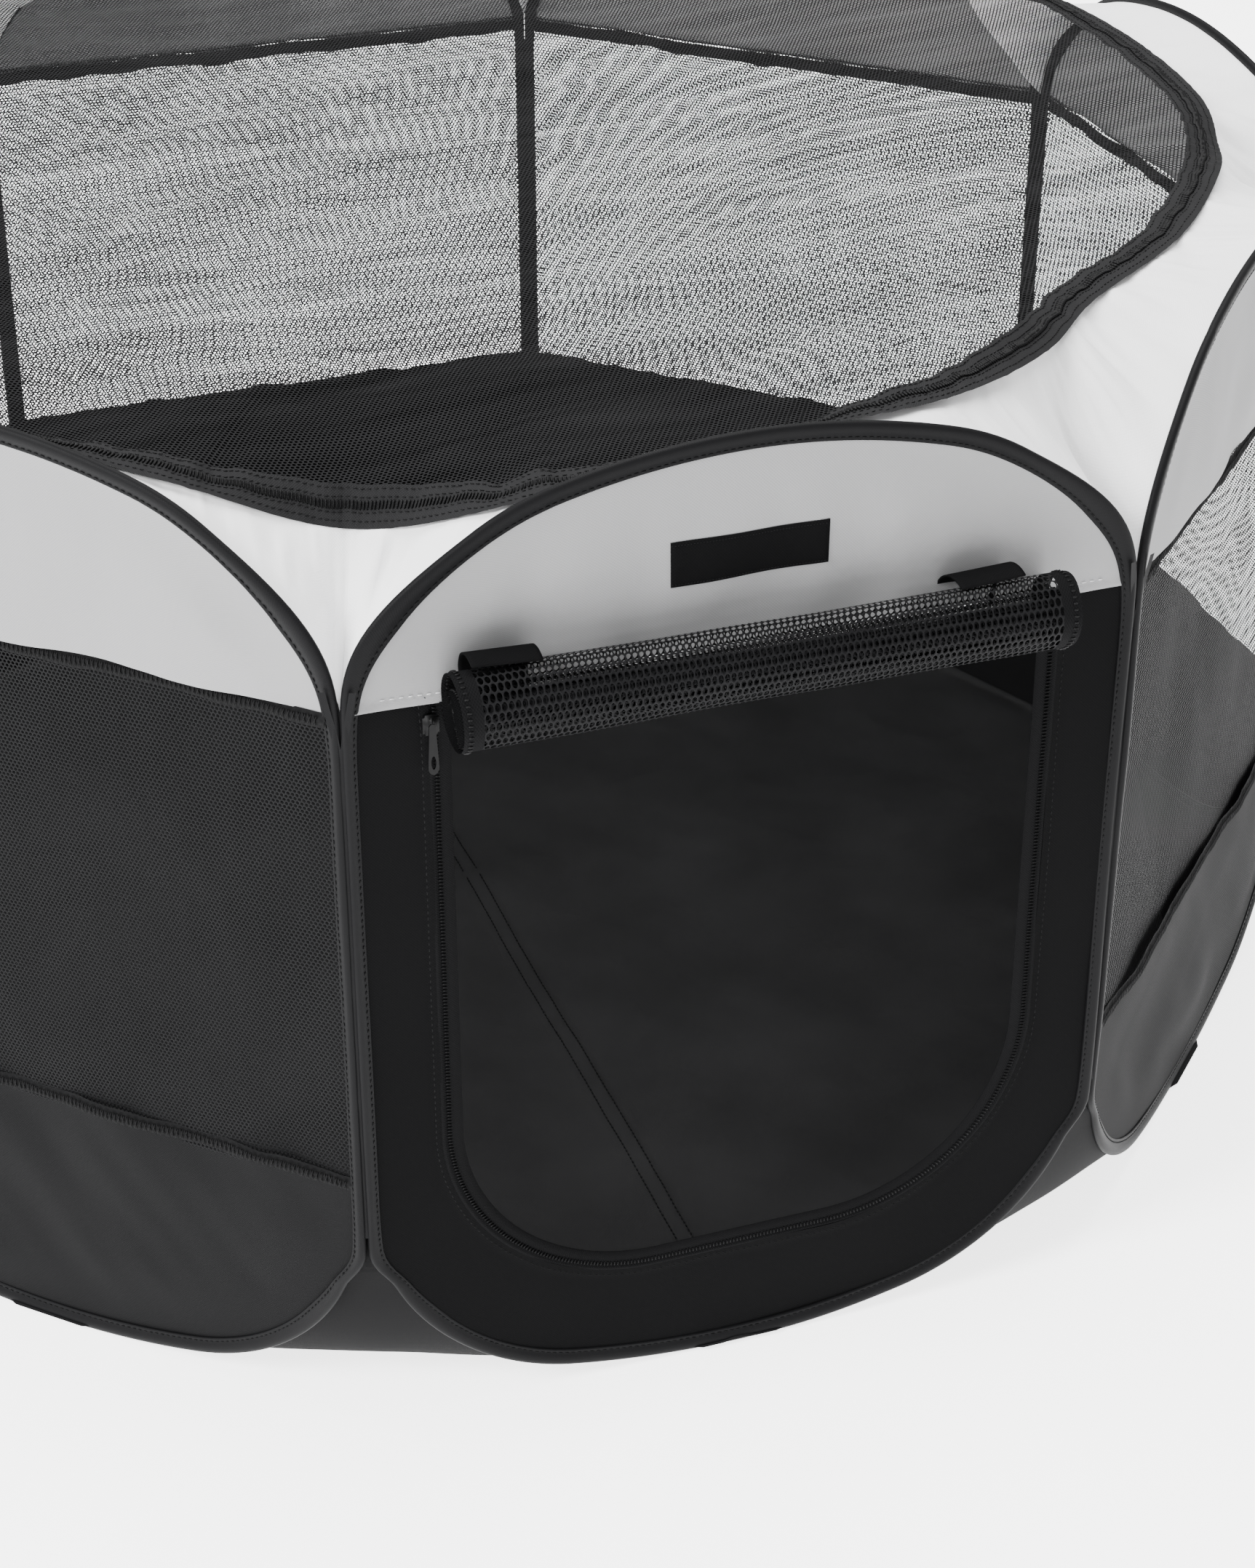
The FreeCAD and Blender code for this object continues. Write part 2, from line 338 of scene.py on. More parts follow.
def noise_node(nt, source, scale, detail):
    n = node(nt, "ShaderNodeTexNoise")
    n.inputs["Scale"].default_value = scale
    n.inputs["Detail"].default_value = detail
    link(source, n.inputs["Vector"])
    return n


def scaled(nt, source, scale, shift=(0, 0, 0)):
    mapping = node(nt, "ShaderNodeMapping")
    mapping.inputs["Scale"].default_value = scale
    mapping.inputs["Location"].default_value = shift
    link(source, mapping.inputs["Vector"])
    return mapping.outputs[0]


def shades(colour, low, high):
    """A darker and a lighter tone of a colour."""
    return tuple(c * low for c in colour), tuple(min(1, c * high) for c in colour)


def mix_colour(nt, fac, a, b):
    n = node(nt, "ShaderNodeMix", data_type="RGBA")
    for k, v in (("Factor", fac), ("A", a), ("B", b)):
        socket = [s for s in n.inputs if s.name == k and s.enabled][0]
        if isinstance(v, (int, float)):
            socket.default_value = v
        elif isinstance(v, tuple):
            socket.default_value = (*v, 1)
        else:
            link(v, socket)
    return [o for o in n.outputs if o.enabled][0]


def cloth(name, colour, rough=0.8, weave=1100.0, bump=0.25, patch=0.12, cloud=6.0, gloss=0.05):
    """Woven cloth: a plain weave in the bump and colour, with slow patchy variation of tone; where the
    patches are strong, as on the floor cloth, they are partly the cloth's own tone and partly painted sheen
    and shade.
    """
    m, nt, bsdf = new_material(name)
    coord = node(nt, "ShaderNodeTexCoord")
    sep = node(nt, "ShaderNodeSeparateXYZ")
    link(scaled(nt, coord.outputs["UV"], (weave, weave, weave)), sep.inputs[0])
    warp = maths(nt, "SINE", maths(nt, "MULTIPLY", sep.outputs[0], math.pi))
    weft = maths(nt, "SINE", maths(nt, "MULTIPLY", sep.outputs[1], math.pi))
    level = maths(nt, "MULTIPLY_ADD", maths(nt, "MULTIPLY", warp, weft), 0.5, 0.5)
    wide = noise_node(nt, coord.outputs["Object"], cloud, 4).outputs["Fac"]
    fine = noise_node(nt, coord.outputs["Object"], 900, 2).outputs["Fac"]
    dark, light = shades(colour, 1 - patch * 1.6, 1 + patch)
    base = mix_colour(nt, wide, dark, light)
    bright = tuple(min(1, c * 1.7 + 0.01) for c in colour)
    thread = mix_colour(nt, maths(nt, "MULTIPLY", level, 0.18), base, bright)
    link(thread, bsdf.inputs["Base Color"])
    link(maths(nt, "MULTIPLY_ADD", fine, 0.12, rough - 0.06), bsdf.inputs["Roughness"])
    height = maths(nt, "ADD", level, maths(nt, "MULTIPLY", fine, 0.5))
    link_bump(nt, bsdf, height, bump, 0.0003)
    bsdf.inputs["Specular IOR Level"].default_value = gloss
    return m


def mesh_cloth(name, colour, pitch, hole, wave=0.05):
    """Knitted net: rows of near-round holes that let through what is behind them."""
    m, nt, bsdf = new_material(name)
    coord = node(nt, "ShaderNodeTexCoord")
    row = math.sqrt(3)
    near = []
    for shift in (0.0, 0.5):
        cell = scaled(nt, coord.outputs["UV"], (1 / pitch, 1 / (pitch * row), 1), (shift, shift, 0))
        sep = node(nt, "ShaderNodeSeparateXYZ")
        link(cell, sep.inputs[0])
        x = maths(nt, "SUBTRACT", maths(nt, "FRACT", sep.outputs[0]), 0.5)
        y = maths(nt, "SUBTRACT", maths(nt, "FRACT", sep.outputs[1]), 0.5)
        y = maths(nt, "MULTIPLY", y, row)
        square = maths(nt, "ADD", maths(nt, "MULTIPLY", x, x), maths(nt, "MULTIPLY", y, y))
        near.append(maths(nt, "SQRT", square))
    d = maths(nt, "MINIMUM", near[0], near[1])
    slow = noise_node(nt, scaled(nt, coord.outputs["Object"], (0.6, 3.0, 1.0)), 9, 3)
    slow.inputs["Distortion"].default_value = 1.5
    size = maths(nt, "MULTIPLY_ADD", slow.outputs["Fac"], -wave, hole + wave * 0.5)
    rim = maths(nt, "SUBTRACT", d, size)
    link_bump(nt, bsdf, maths(nt, "MULTIPLY", rim, 4.0, clamp=True), 0.6, 0.0005)
    link(mix_colour(nt, slow.outputs["Fac"], *shades(colour, 0.8, 1.25)), bsdf.inputs["Base Color"])
    bsdf.inputs["Roughness"].default_value = 0.6
    bsdf.inputs["Specular IOR Level"].default_value = 0.05
    clear = node(nt, "ShaderNodeBsdfTransparent")
    mix = node(nt, "ShaderNodeMixShader")
    link(maths(nt, "LESS_THAN", d, size), mix.inputs[0])
    link(bsdf.outputs[0], mix.inputs[1])
    link(clear.outputs[0], mix.inputs[2])
    link(mix.outputs[0], nt.nodes["Material Output"].inputs["Surface"])
    return m


def hard(name, colour, rough):
    """Enamel, nylon or thread: one colour with a fine mottle."""
    m, nt, bsdf = new_material(name)
    coord = node(nt, "ShaderNodeTexCoord")
    grain = noise_node(nt, coord.outputs["Object"], 300, 2).outputs["Fac"]
    link(mix_colour(nt, grain, *shades(colour, 0.8, 1.3)), bsdf.inputs["Base Color"])
    link(maths(nt, "MULTIPLY_ADD", grain, 0.15, rough), bsdf.inputs["Roughness"])
    bsdf.inputs["Specular IOR Level"].default_value = 0.12
    return m


LIGHT_CLOTH = cloth("light_oxford", (0.235, 0.235, 0.238), rough=0.85, bump=0.35, patch=0.04, gloss=0.15)
WEB_CLOTH = cloth("white_oxford", (0.82, 0.82, 0.825), rough=0.85, bump=0.3, patch=0.02, gloss=0.15)
DARK_CLOTH = cloth("dark_oxford", (0.0050, 0.0050, 0.0053), rough=0.75, bump=0.4, patch=0.15)
DOOR_CLOTH = cloth("black_oxford", (0.0030, 0.0030, 0.0032), bump=0.3, patch=0.15, gloss=0.02)
# The floor cloth's strong cloud patches (patch 0.40 at cloud 9) are partly its own tone and partly painted
# sheen and shade: lighter and darker clouds where light would play on the rumpled nylon.
FLOOR_CLOTH = cloth("floor_nylon", (0.0165, 0.0165, 0.017), rough=0.6, weave=1600, bump=0.15, patch=0.40,
                    cloud=9)
BIND_CLOTH = cloth("binding_tape", (0.0046, 0.0046, 0.005), rough=0.5, weave=1500, bump=0.2)
TAPE_CLOTH = cloth("zip_tape", (0.0120, 0.0120, 0.0125), rough=0.7, weave=1300, bump=0.6, patch=0.1)
DOOR_TAPE = cloth("door_tape", (0.0042, 0.0042, 0.0045), rough=0.75, weave=1300, bump=0.6, patch=0.1,
                  gloss=0.02)
HEM_CLOTH = cloth("overlock_hem", (0.0040, 0.0040, 0.0043), rough=0.7, weave=420, bump=1.0, patch=0.2)
THREAD_DARK = hard("dark_thread", (0.004, 0.004, 0.0043), 0.6)
THREAD_LIGHT = hard("light_thread", (0.62, 0.62, 0.63), 0.6)
COIL_NYLON = hard("coil_nylon", (0.004, 0.004, 0.0043), 0.45)
SLIDER_PAINT = hard("slider_enamel", (0.0014, 0.0014, 0.0016), 0.45)
WALL_NET = mesh_cloth("wall_net", (0.0048, 0.0048, 0.0052), SIDE_PITCH, 0.335)
TOP_NET = mesh_cloth("top_net", (0.0075, 0.0075, 0.008), TOP_PITCH, 0.335, wave=0.22)
ROLL_NET = mesh_cloth("roll_net", (0.0065, 0.0065, 0.007), ROLL_PITCH, 0.39, wave=0.02)


# -------- one panel's outline as a path
def lengths(points):
    """Distance along a line of flat points, at each of them."""
    marks = [0.0]
    for p, q in zip(points, points[1:]):
        marks.append(marks[-1] + math.hypot(q[0] - p[0], q[1] - p[1]))
    return marks


def outline_path(count):
    """Points (u, z) evenly spaced round the panel's outer edge, with the inward direction at each."""
    steps = 160

    def arc(u, z, r, first, last):
        turns = [lerp(first, last, k / steps) for k in range(steps)]
        return [(u + r * math.sin(a), z + r * math.cos(a)) for a in turns]

    right = math.pi / 2
    dense = arc(0, HEIGHT - TOP_CROWN, TOP_CROWN, -TOP_TURN, TOP_TURN)
    dense += arc(TOP_X, TOP_Z, TOP_R, TOP_TURN, right)
    dense += [(HALF_W, lerp(TOP_Z, FOOT_RISE, k / steps)) for k in range(steps)]
    dense += arc(FOOT_X, FOOT_RISE, FOOT_R, right, math.pi - FOOT_TURN)
    dense += arc(0, FOOT_CROWN, FOOT_CROWN, math.pi - FOOT_TURN, math.pi + FOOT_TURN)
    mirror = [(-u, z) for u, z in dense[steps:4 * steps]]
    dense += mirror[::-1]
    loop = dense + [dense[0]]
    marks = lengths(loop)
    total = marks[-1]
    points = []
    j = 0
    for k in range(count):
        want = total * k / count
        while marks[j + 1] < want:
            j += 1
        f = (want - marks[j]) / max(1e-9, marks[j + 1] - marks[j])
        points.append((lerp(loop[j][0], loop[j + 1][0], f), lerp(loop[j][1], loop[j + 1][1], f)))
    path = []
    for k in range(count):
        a = points[k - 2]
        b = points[(k + 2) % count]
        tu = b[0] - a[0]
        tz = b[1] - a[1]
        size = math.hypot(tu, tz)
        path.append((points[k], (tz / size, -tu / size), total * k / count))
    return path, total


BIND_N = 300
OUTLINE, OUTLINE_LEN = outline_path(BIND_N)
BIND_PROFILE = (
    (0.0, 0.3), (0.3, 1.3), (1.1, 2.2), (2.8, 2.8), (4.8, 2.8), (6.6, 2.2), (7.8, 1.5),
    (8.6, 1.15), (9.0, 1.05), (9.4, 1.2), (10.2, 1.15), (10.8, 0.9), (11.0, 0.5),
)


def slim(u):
    """The binding's width at u against its width on the arches."""
    return 1 - SLIM * smooth((abs(u) - 0.196) / 0.03)


def binding(i):
    """The tape folded over the wire loop, with its stitches."""
    rings = []
    grains = []
    uvs = []
    for (u, z), (nu, nz), s in OUTLINE:
        sway = rumple(s * 9, i * 3.1, 0.0, 2.0) * 0.0013
        girth = 1 + 0.10 * rumple(s * 16, i * 5.3, 4.0)
        ring = []
        for side in (1, -1):
            order = BIND_PROFILE if side == 1 else BIND_PROFILE[::-1]
            for e, h in order:
                pucker = 1.0
                if e > 7.4:
                    pucker += 0.22 * math.sin(s * 2 * math.pi / 0.021 + i) * rumple(s * 11, i, side)
                e_m = e * 0.001 * slim(u)
                h_m = h * 0.001 * girth * pucker * side
                ring.append(at(i, u + nu * e_m, h_m + sway, z + nz * e_m))
                uvs.append((s, e_m * side))
        rings.append(ring)
    verts, faces = tube_strip(rings, len(rings))
    obj = build("binding_sleeve_%d" % i, verts, faces, BIND_CLOTH, panel_name(i), uvs=uvs)
    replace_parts(obj, "binding_%d" % i, "wire_loop_%d" % i)
    count = int(OUTLINE_LEN / STITCH)
    for k in range(count):
        x = k / count * BIND_N
        a = int(x)
        f = x - a
        p, n, s = OUTLINE[a]
        q = OUTLINE[(a + 1) % BIND_N][0]
        u = lerp(p[0], q[0], f)
        z = lerp(p[1], q[1], f)
        nu, nz = n
        e = 0.0089 * slim(u)
        sway = rumple(s * 9, i * 3.1, 0.0, 2.0) * 0.0013
        for side in (1, -1):
            h = side * 0.00125 + sway
            c = at(i, u + nu * e, h, z + nz * e)
            t = at(i, u + nu * e - nz * 0.0014, h, z + nz * e + nu * 0.0014) - c
            w = at(i, u + nu * (e + 0.0004), h, z + nz * (e + 0.0004)) - c
            up = (at(i, u, side * 0.0008, z) - at(i, u, 0, z)) * 0.55
            grains.append((c, t, w, up))
    sew("binding_stitches_%d" % i, grains, THREAD_DARK, i)


def panel_shape(i, u, z, kind):
    """How far the cloth of panel i stands out from the panel's plane at (u, z)."""
    side = smooth((half_width(z, BIND_W) - abs(u)) / 0.045)
    head = smooth((top_edge(u, BIND_W) - z) / 0.05)
    foot = smooth((z - foot_edge(u, BIND_W)) / 0.05)
    mask = side * head * foot
    seed = 7.3 * i
    if kind == "upper":
        pleat = rumple(u * 17, z * 4, 0, seed) * 0.0052 + rumple(u * 44, z * 7, 1, seed) * 0.0009
        slant = rumple((u - z) * 15, (u + z) * 4, 2, seed) * 0.0030
        return mask * (pleat + slant + 0.002)
    if kind == "lower":
        slack = rumple(u * 11 + z * 8, z * 11 - u * 5, 0, seed) * 0.0045
        crease = rumple(u * 30 + z * 22, z * 13, 2, seed) * 0.0014
        return mask * (slack + crease + 0.001)
    if kind == "net":
        return mask * (rumple(u * 7, z * 9, 0, seed) * 0.0035 + rumple(u * 24, z * 10, 3, seed) * 0.0010)
    return mask * (rumple(u * 9, z * 7, 0, seed) * 0.0015 + rumple(u * 28, z * 12, 3, seed) * 0.0006)


def seam_wave(i, u, which):
    """The band's sewn edge isn't quite straight."""
    return rumple(u * 18, which * 3.0, i * 2.2) * 0.0022 * smooth((0.21 - abs(u)) / 0.05)


def upper_band(i):
    """The light cloth above the hem line."""
    edge_w = half_width(BAND_EDGE, UNDER)

    def f(s, t):
        u = s * edge_w
        low = BAND_EDGE + (seam_wave(i, u, 0) if i else 0)
        z = lerp(low, max(low, top_edge(u, UNDER)), t)
        out = panel_shape(i, u, z, "upper")
        out += 0.0003 if i else 0.0012 * smooth(1 - (z - low) / 0.006)
        return at(i, u, out, z)

    obj = grid("upper_band_cloth_%d" % i, f, (-1, 1), (0, 1), 90, 30, LIGHT_CLOTH, i,
               uv=(edge_w, 0.128))
    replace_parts(obj, "upper_band_%d" % i)


def lower_band(i):
    """The dark cloth below the window."""
    def f(s, t):
        u = s * (HALF_W - UNDER - 0.0002)
        high = FOOT_BAND + seam_wave(i, u, 1)
        z = lerp(min(high, foot_edge(u, UNDER)), high, t)
        return at(i, u, panel_shape(i, u, z, "lower"), z)

    obj = grid("lower_band_cloth_%d" % i, f, (-1, 1), (0, 1), 80, 34, DARK_CLOTH, i,
               uv=(CLOTH_HALF, 0.16))
    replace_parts(obj, "lower_band_%d" % i)


def window(i):
    """The net between the bands, with an overlocked hem and its zigzag thread at both edges."""
    def f(s, t):
        z = lerp(FOOT_BAND - 0.004, BAND_EDGE + 0.004, t)
        u = s * half_width(z, UNDER)
        return at(i, u, panel_shape(i, u, z, "net") - 0.0006, z)

    obj = grid("window_net_%d" % i, f, (-1, 1), (0, 1), 56, 44, WALL_NET, i,
               uv=(CLOTH_HALF, 0.318))
    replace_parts(obj, "mesh_window_%d" % i)
    for which, z0 in ((0, BAND_EDGE), (1, FOOT_BAND)):
        def hem(s, t, which=which, z0=z0):
            u = s * half_width(z0, UNDER)
            across = lerp(-0.001, 0.0095, t) if which else lerp(-0.0095, 0.0006, t)
            z = z0 + seam_wave(i, u, which) + across * (1 + 0.25 * rumple(u * 40, which, i))
            bulge = 0.0011 * math.sin(math.pi * max(0, min(1, t))) + 0.0004 * rumple(u * 120, t * 3, i)
            kind = "net" if which == 0 else "lower"
            return at(i, u, panel_shape(i, u, z, kind) + 0.0005 + bulge, z)

        grid("net_hem_%d_%d" % (i, which), hem, (-1, 1), (0, 1), 160, 6, HEM_CLOTH, i,
             uv=(CLOTH_HALF, 0.01))
        grains = []
        up = at(i, 0, 0.0005, 0) - at(i, 0, 0, 0)
        for s in spread(-0.985, 0.985, 150):
            for lean in (1, -1):
                c = hem(s, 0.5) + up
                along = hem(s + 0.0042, 0.5 + 0.36 * lean) - hem(s - 0.0042, 0.5 - 0.36 * lean)
                wide = (hem(s + 0.002, 0.5) - hem(s, 0.5)).normalized() * 0.00045
                grains.append((c, along * 0.5, wide, up))
        sew("hem_thread_%d_%d" % (i, which), grains, THREAD_DARK, i)


def flange(i):
    """Seam allowance at both upright sides, between a binding and its neighbours."""
    verts = []
    faces = []
    for side in (1, -1):
        base = len(verts)
        n = 60
        for k in range(n + 1):
            z = lerp(PINCH_LOW + 0.01, PINCH_HIGH - 0.012, k / n)
            for u, out in ((SEAM_U, 0.0005), (0.2282, -0.0004), (0.2296, -0.0010)):
                verts.append(at(i, side * u, out + rumple(z * 40, side, i) * 0.0003, z))
        for k in range(n):
            for j in range(2):
                a = base + k * 3 + j
                faces.append((a, a + 1, a + 4, a + 3))
    uvs = [(v.z, v.x) for v in verts]
    obj = build("corner_flange_%d" % i, verts, faces, BIND_CLOTH, panel_name(i), uvs=uvs)
    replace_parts(obj, "corner_seam_%d" % i)


# -------- doorway
def ray_hit(angle, inside):
    """Where a ray from the doorway's middle leaves the shape that inside(u, z) tells of."""
    du = math.cos(angle)
    dz = math.sin(angle)
    low = 0.0
    high = 0.6
    for _ in range(36):
        mid = (low + high) / 2
        if inside(du * mid, DOOR_MID + dz * mid):
            low = mid
        else:
            high = mid
    return du * low, DOOR_MID + dz * low


def in_doorway(u, z, inset):
    """Whether (u, z) is in the doorway, its edge moved in by inset."""
    cz = DOOR_SILL + DOOR_CORNER
    cx = DOOR_HALF - DOOR_CORNER
    if z < cz and abs(u) > cx and math.hypot(abs(u) - cx, z - cz) >= DOOR_CORNER - inset:
        return False
    return abs(u) < DOOR_HALF - inset and z > DOOR_SILL + inset


def u_path(inset, count, top):
    """The doorway's edge from its left top round to its right top, evenly spaced, with inward directions."""
    r = DOOR_CORNER - inset
    cx = DOOR_HALF - DOOR_CORNER
    cz = DOOR_SILL + DOOR_CORNER
    straight = top - cz
    arc = r * math.pi / 2
    total = 2 * (straight + arc + cx)
    path = []
    for k in range(count + 1):
        s = total * k / count
        way = 1 if s < total / 2 else -1
        down = min(s, total - s)
        a = max(0.0, down - straight) / r
        if down < straight:
            p = (-cx - r, top - down)
            n = (1, 0)
        elif down < straight + arc:
            p = (-cx - r * math.cos(a), cz - r * math.sin(a))
            n = (math.cos(a), math.sin(a))
        else:
            p = (-cx + down - straight - arc, cz - r)
            n = (0, 1)
        path.append(((way * p[0], p[1]), (way * n[0], n[1]), s))
    return path, total


def door_surround():
    """Three strips round the doorway: left, sill and right."""
    top = BAND_EDGE + 0.004
    high = math.atan2(top - DOOR_MID, DOOR_HALF)
    low = math.atan2(DOOR_MID - DOOR_SILL - DOOR_CORNER, DOOR_HALF)
    marks = (math.pi - high, math.pi + low, 2 * math.pi - low, 2 * math.pi + high)

    def f(a, t):
        inner = ray_hit(a, lambda u, z: in_doorway(u, z, -0.0005))
        outer = ray_hit(a, lambda u, z: abs(u) < half_width(z, UNDER) and foot_edge(u, UNDER) < z)
        if outer[1] > top:
            outer = (math.copysign(half_width(top, UNDER), outer[0]), top)
        if inner[1] > top:
            inner = (inner[0], top)
        u = lerp(inner[0], outer[0], t)
        z = lerp(inner[1], outer[1], t)
        fold = 0.0012 * smooth(1 - t * 9)
        return at(0, u, panel_shape(0, u, z, "door") + fold, z)

    cuts = (("left", 50, (0.043, 0.30)), ("sill", 110, (0.445, 0.20)), ("right", 50, (0.043, 0.30)))
    for k, (side, steps, flat) in enumerate(cuts):
        obj = grid("door_surround_" + side, f, (marks[k], marks[k + 1]), (0, 1), steps, 14, DOOR_CLOTH,
                   0, uv=lambda p: (p.x, p.z))
        if k == 0:
            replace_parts(obj, "door_surround")


def edge_grain(place, out, along, across, up):
    """A grain on the doorway's edge, out from the panel, with its reach along, across and up."""
    (u, z), (nu, nz), _ = place
    base = at(0, u, 0, z)
    along = at(0, u + nz * along, 0, z - nu * along) - base
    across = at(0, u + nu * across, 0, z + nz * across) - base
    return at(0, u, out, z), along, across, at(0, u, up, z) - base


def door_zip():
    """The doorway's fixed zip half: its tape inside the edge, a raised welt and the coil."""
    top = BAND_EDGE - 0.001
    count = 260
    path, total = u_path(0.0, count, top)
    profile = ((-1.6, 0.4), (-1.0, 1.3), (0.0, 1.6), (0.9, 1.2), (1.6, 0.7), (6.0, 0.5), (11.5, 0.3),
               (11.5, -0.3), (0.0, -0.6))
    rings = []
    uvs = []
    for (u, z), (nu, nz), s in path:
        sway = rumple(s * 12, 5.0) * 0.0006
        ring = []
        for e, h in profile[::-1]:
            e_m = e * 0.001
            ring.append(at(0, u + nu * e_m, h * 0.001 + sway, z + nz * e_m))
            uvs.append((s, e_m))
        rings.append(ring)
    verts, faces = tube_strip(rings, count)
    obj = build("door_zip_tape_sewn", verts, faces, DOOR_TAPE, "panel_0", uvs=uvs)
    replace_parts(obj, "door_zip_tape")
    teeth, total = u_path(0.0035, int(total / 0.0022), top)
    grains = []
    for place in teeth:
        out = 0.0010 + rumple(place[2] * 12, 5.0) * 0.0006
        c, along, across, up = edge_grain(place, out, 0.0006, 0.0015, 0.0011)
        grains.append((c, across, along, up))
    sew("door_zip_coil", grains, COIL_NYLON, 0)
    stitches, total = u_path(-0.0045, int(total / 0.0040), top)
    grains = []
    for place in stitches:
        out = 0.0016 + panel_shape(0, *place[0], "door")
        grains.append(edge_grain(place, out, 0.0013, 0.0003, 0.0005))
    sew("door_edge_stitches", grains, THREAD_DARK, 0)


def hem_stitches():
    """Light stitching just above the door panel's band edge."""
    grains = []
    for u in spread(-0.205, 0.205, 92):
        z = BAND_EDGE + 0.0058 + rumple(u * 9, 1.0) * 0.0003
        c = at(0, u, panel_shape(0, u, z, "upper") + 0.0007, z)
        grains.append((c, Vector((0.0015, 0, 0)), Vector((0, 0, 0.00035)), Vector((0, -0.0005, 0))))
    sew("band_hem_stitches", grains, THREAD_LIGHT, 0)


def label_patch():
    """A plain woven patch with a stitched border, left blank."""
    left = -0.049
    right = 0.041
    low = 0.5275
    high = 0.5535

    def f(s, t):
        u = lerp(left, right, s)
        z = lerp(low, high, t)
        edge = min(s, 1 - s, t * 0.3, (1 - t) * 0.3)
        lift = 0.0009 * smooth(edge / 0.02)
        return at(0, u, panel_shape(0, u, z, "upper") + 0.0003 + lift, z)

    grid("blank_label_patch", f, (0, 1), (0, 1), 60, 18, DOOR_CLOTH, 0,
         uv=(right - left, high - low))
    grains = []
    for s in spread(0, 1, 52):
        for t in (0.07, 0.93):
            c = f(s, t) + Vector((0, -0.0001, 0))
            grains.append((c, Vector((0.0006, 0, 0)), Vector((0, 0, 0.0003)), Vector((0, -0.0003, 0))))
    sew("label_stitches", grains, THREAD_DARK, 0)


# -------- rolled-up door
def roll_point(turn, x):
    """Point on the rolled net, turn counted from the seam inwards."""
    a = math.radians(200) + turn * 2 * math.pi
    end = (x - (ROLL_X0 + ROLL_X1) / 2) / (ROLL_X1 - ROLL_X0) * 2
    inner = smooth((turn - 0.55) / 0.45)
    r = ROLL_R - 0.0002 - 0.0012 * turn - 0.0060 * inner - 0.0021 * max(0.0, turn - 1.0)
    r += 0.0007 * rumple(x * 14, math.cos(a) * 1.3, math.sin(a) * 1.3 + turn)
    r -= 0.0008 * math.cos(end * 4.0) * 0.5
    return at(0, x, ROLL_OUT + r * math.cos(a), ROLL_Z - 0.0062 * inner + r * math.sin(a))


def door_roll():
    """The rolled net door with its taped ends, and the coil along each."""
    turns = 4.6
    cols = 130
    rows = 190
    edge = 0.0115

    def f(s, t):
        x = lerp(ROLL_X0, ROLL_X1, s)
        return roll_point(max(0.0, t) * turns, x)

    def tape_slot(s, t):
        x = s * (ROLL_X1 - ROLL_X0)
        return 1 if min(x, ROLL_X1 - ROLL_X0 - x) < edge else 0

    obj = grid("door_net_roll", f, (0, 1), (0, 1), cols, rows, [ROLL_NET, DOOR_TAPE], 0,
               uv=ROLL_FLAT, pick=tape_slot)
    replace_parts(obj, "door_roll")
    grains = []
    n = 190
    for x in (ROLL_X0 + 0.0035, ROLL_X1 - 0.0035):
        for k in range(n):
            turn = turns * 0.98 * k / n
            c = roll_point(turn, x)
            t = (roll_point(turn + 0.01, x) - roll_point(turn - 0.01, x)).normalized()
            out = (c - at(0, x, ROLL_OUT, ROLL_Z)).normalized()
            grains.append((c, Vector((0.0016, 0, 0)), t * 0.0008, out * 0.0010))
    sew("door_roll_coil", grains, COIL_NYLON, 0)


def spline(p0, p1, p2, p3, g):
    """Point at g from p1 to p2 on a smooth curve that goes on to p0 and p3."""
    return (p1 * 2 + (p2 - p0) * g + (p0 * 2 - p1 * 5 + p2 * 4 - p3) * g * g
            + (p1 * 3 - p0 - p2 * 3 + p3) * g ** 3) / 2


def straps():
    """Two ribbons behind the roll, each folded forward over its top."""
    for n, x0 in enumerate(STRAP_XS):
        route = [(0.0014, ROLL_Z - 0.014), (0.0012, ROLL_Z - 0.004)]
        for k in range(9):
            turn = math.radians(lerp(165, 74, k / 8))
            r = ROLL_R + 0.0014 + 0.0008 * math.sin(math.pi * k / 8)
            route.append((ROLL_OUT + r * math.cos(turn), ROLL_Z + r * math.sin(turn)))

        def f(s, t, x0=x0, n=n, route=route):
            k = max(0.0, min(0.9999, t)) * (len(route) - 1)
            a = int(k)
            last = len(route) - 1
            quad = [Vector(route[max(0, min(last, a + d))]) for d in (-1, 0, 1, 2)]
            q = spline(*quad, k - a)
            u = x0 + s * STRAP_HALF + (0.0015 if n else -0.0015) * t
            tilt = 0.0012 * s * smooth(t) * (1 if n else -1)
            return at(0, u, q[0], q[1] + tilt)

        front = grid("roll_strap_%d" % n, f, (-1, 1), (0, 1), 16, 40, DOOR_CLOTH, 0,
                     uv=(STRAP_HALF, 0.06))
        thick = front.modifiers.new("thick", "SOLIDIFY")
        thick.thickness = 0.0012
        thick.offset = 0
        if n == 0:
            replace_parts(front, "roll_straps")


# -------- top: webs, zip ring, cover
def corner_angle(k):
    return TURN * (k - 0.5) - math.pi / 2


def squash_to(obj, panel):
    """Gives the cloth its own copy of its mesh."""
    tuple(at(panel, 0, -0.0032, 0.3))
    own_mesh(obj)


def ring_controls():
    """Points the zip ring passes through: a corner, then three along the panel."""
    out = []
    for i in range(PANELS):
        r, z, tilt = RING_CORNER[i]
        a = corner_angle(i)
        out.append((Vector((r * math.cos(a), r * math.sin(a), z)), tilt))
        for u, (inward, z, tilt) in zip((-RING_U, 0.0, RING_U), RING_SIDE[i]):
            out.append((at(i, u, -inward, z), tilt))
    return out


